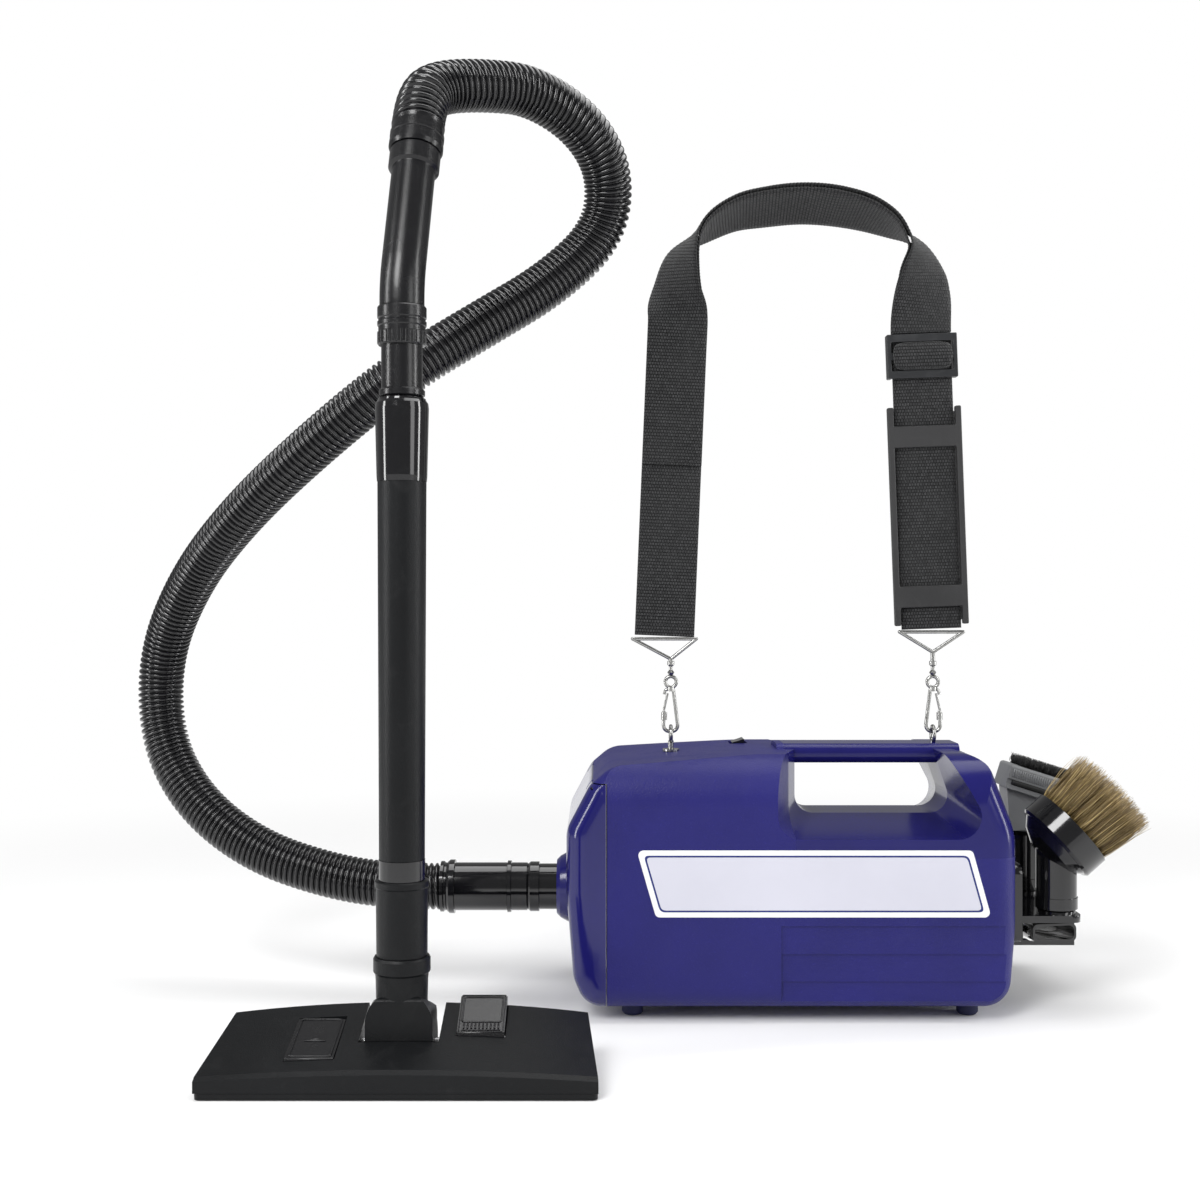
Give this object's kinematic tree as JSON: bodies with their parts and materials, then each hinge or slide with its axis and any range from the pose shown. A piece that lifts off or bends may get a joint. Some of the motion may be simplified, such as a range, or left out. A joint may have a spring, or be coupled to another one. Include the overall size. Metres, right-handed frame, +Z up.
{
  "type": "portable canister vacuum cleaner",
  "caption": "Shoulder-strap canister vacuum: moulded box body with top grip, corrugated hose, bent wand standing on a floor tool, and tools clipped to the rear.",
  "frame": {"origin": "on the floor under the middle of the whole object's box, the free hose left out", "axes": "+Z up, +X from the canister's hose end to its tool end, -Y the side that the floor tool's front and the badge face"},
  "size_m": [0.8462, 0.373, 0.7401],
  "materials": {
    "blue_casing": "moulded, fine grain with gloss on the handle and front",
    "gloss_black": "polished",
    "satin_black": "fine grain",
    "hose_vinyl": "semi-gloss ribs",
    "black_rubber": "matt",
    "badge": "printed badge without lettering",
    "bright_wire": "nickel plated",
    "webbing": "ribbed weave",
    "pad_rubber": "matt",
    "grey_plastic": "satin",
    "golden_bristle": "coarse bristle",
    "black_bristle": "short bristle",
    "steel": "turned",
    "motor_iron": "laminated",
    "fan_alloy": "spun",
    "filter_felt": "felt",
    "bag_paper": "paper fleece",
    "bag_card": "pressed card"
  },
  "bodies": {
    "canister": {"near_shell": "blue_casing", "far_shell": "blue_casing", "cover_hinge_pin": "steel", "side_badge": "badge", "rubber_feet": "black_rubber", "strap_eyes": "bright_wire", "switch_housing": "satin_black", "switch_pin": "steel", "exhaust_grille": "satin_black", "exhaust_filter": "filter_felt", "cord_gland": "black_rubber", "motor_bulkhead": "satin_black", "motor_filter": "filter_felt", "motor_can": "steel", "motor_stator": "motor_iron", "motor_mounts": "black_rubber", "motor_bearings": "steel", "bearing_plates": "satin_black", "dust_bag": "bag_paper", "bag_collar": "bag_card", "case_screws": "steel", "tool_caddy": "gloss_black", "hose": "hose_vinyl", "hand_tube": "satin_black", "wand_tube": "satin_black", "wand_band": "gloss_black", "wand_collar": "gloss_black", "tool_socket": "satin_black"},
    "front_cover": {"front_cover": "blue_casing", "inlet_seal": "black_rubber"},
    "cover_latch": {"cover_latch": "blue_casing"},
    "machine_cuff": {"machine_cuff": "gloss_black"},
    "hand_cuff": {"hose_hand_cuff": "satin_black"},
    "power_switch": {"power_switch": "gloss_black"},
    "motor_rotor": {"motor_shaft": "steel", "fan_impeller": "fan_alloy", "armature": "motor_iron"},
    "lock_ring": {"lock_ring": "satin_black"},
    "floor_elbow": {"floor_elbow": "satin_black"},
    "floor_head": {"head_cover": "satin_black", "head_base": "satin_black", "head_pins": "steel"},
    "brush_strips": {"brush_strips": "black_bristle"},
    "left_pedal": {"left_pedal": "satin_black"},
    "right_pedal": {"right_pedal": "satin_black"},
    "strap": {"strap_webbing": "webbing", "strap_triangles": "bright_wire", "hook_swivels": "bright_wire", "snap_hooks": "bright_wire"},
    "front_hook_gate": {"front_hook_gate": "bright_wire"},
    "rear_hook_gate": {"rear_hook_gate": "bright_wire"},
    "slider_buckle": {"slider_buckle": "satin_black"},
    "shoulder_pad": {"pad_cushion": "pad_rubber", "pad_frame": "pad_rubber"},
    "dusting_brush": {"dusting_brush": "gloss_black", "dusting_bristles": "golden_bristle"},
    "upholstery_tool": {"upholstery_nozzle": "grey_plastic", "upholstery_bristles": "black_bristle", "upholstery_neck": "gloss_black"},
    "crevice_tool": {"crevice_tool": "gloss_black"}
  },
  "joints": [
    {"name": "front_cover_hinge", "type": "hinge", "parent": "canister", "child": "front_cover", "pos_m": [-0.092, 0.0825, 0.1818], "axis": [0, 1, 0], "range_deg": [0, 60], "deforming": ["hose"]},
    {"name": "cover_latch_press", "type": "slide", "parent": "front_cover", "child": "cover_latch", "axis": [0, 0, 1], "range_m": [0, 0.003], "stiffness_N_per_m": 400, "springref_m": -0.002},
    {"name": "machine_cuff_swivel", "type": "hinge", "parent": "front_cover", "child": "machine_cuff", "pos_m": [-0.112, 0.0825, 0.089], "axis": [1, 0, 0], "continuous": true},
    {"name": "hand_cuff_swivel", "type": "hinge", "parent": "canister", "child": "hand_cuff", "pos_m": [-0.21865, -0.09404, 0.6518], "axis": [0.0457, 0.3407, 0.9391], "continuous": true},
    {"name": "power_switch_rock", "type": "hinge", "parent": "canister", "child": "power_switch", "pos_m": [0.0335, 0.1225, 0.2], "axis": [0, 1, 0], "range_deg": [0, 14]},
    {"name": "motor_spin", "type": "hinge", "parent": "canister", "child": "motor_rotor", "pos_m": [0.0765, 0.0825, 0.076], "axis": [1, 0, 0], "continuous": true},
    {"name": "lock_ring_turn", "type": "hinge", "parent": "canister", "child": "lock_ring", "pos_m": [-0.2235, -0.1305, 0.52], "axis": [0, 0, 1], "range_deg": [0, 90]},
    {"name": "elbow_swivel", "type": "hinge", "parent": "canister", "child": "floor_elbow", "pos_m": [-0.2235, -0.1305, 0.0824], "axis": [0, 0, 1], "continuous": true},
    {"name": "head_tilt", "type": "hinge", "parent": "floor_elbow", "child": "floor_head", "pos_m": [-0.2235, -0.1305, 0.022], "axis": [1, 0, 0], "range_deg": [-5, 60]},
    {"name": "left_pedal_tilt", "type": "hinge", "parent": "floor_head", "child": "left_pedal", "pos_m": [-0.281, -0.166, 0.01983], "axis": [1, 0, 0], "range_deg": [0, 8]},
    {"name": "right_pedal_tilt", "type": "hinge", "parent": "floor_head", "child": "right_pedal", "pos_m": [-0.168, -0.137, 0.02689], "axis": [1, 0, 0], "range_deg": [-8, 0]},
    {"name": "brush_lift", "type": "slide", "parent": "floor_head", "child": "brush_strips", "axis": [0, 0, 1], "range_m": [0, 0.004]},
    {"name": "strap_swing", "type": "hinge", "parent": "canister", "child": "strap", "pos_m": [-0.026, 0.0825, 0.219], "axis": [1, 0, 0], "range_deg": [-80, 80]},
    {"name": "front_gate_open", "type": "hinge", "parent": "strap", "child": "front_hook_gate", "pos_m": [-0.0317, 0.0825, 0.2376], "axis": [0, 1, 0], "range_deg": [0, 10], "stiffness_Nm_per_rad": 0.02, "springref_deg": -5.73},
    {"name": "rear_gate_open", "type": "hinge", "parent": "strap", "child": "rear_hook_gate", "pos_m": [0.1997, 0.0825, 0.2376], "axis": [0, -1, 0], "range_deg": [0, 10], "stiffness_Nm_per_rad": 0.02, "springref_deg": -5.73},
    {"name": "slider_slide", "type": "slide", "parent": "strap", "child": "slider_buckle", "axis": [-0.0368, 0, 0.9993], "range_m": [-0.01, 0]},
    {"name": "pad_slide", "type": "slide", "parent": "strap", "child": "shoulder_pad", "axis": [-0.0368, 0, 0.9993], "range_m": [0, 0.01]},
    {"name": "dusting_brush_lift", "type": "slide", "parent": "canister", "child": "dusting_brush", "axis": [0, 0, 1], "range_m": [0, 0.06]},
    {"name": "upholstery_tool_lift", "type": "slide", "parent": "canister", "child": "upholstery_tool", "axis": [0, 0, 1], "range_m": [0, 0.06]},
    {"name": "crevice_tool_pull", "type": "slide", "parent": "canister", "child": "crevice_tool", "axis": [0, 1, 0], "range_m": [0, 0.12]}
  ],
  "couplings": [
    {"joint": "right_pedal_tilt", "follows": "left_pedal_tilt", "ratio": -1},
    {"joint": "brush_lift", "follows": "left_pedal_tilt", "m_per_rad": 0.028648}
  ]
}
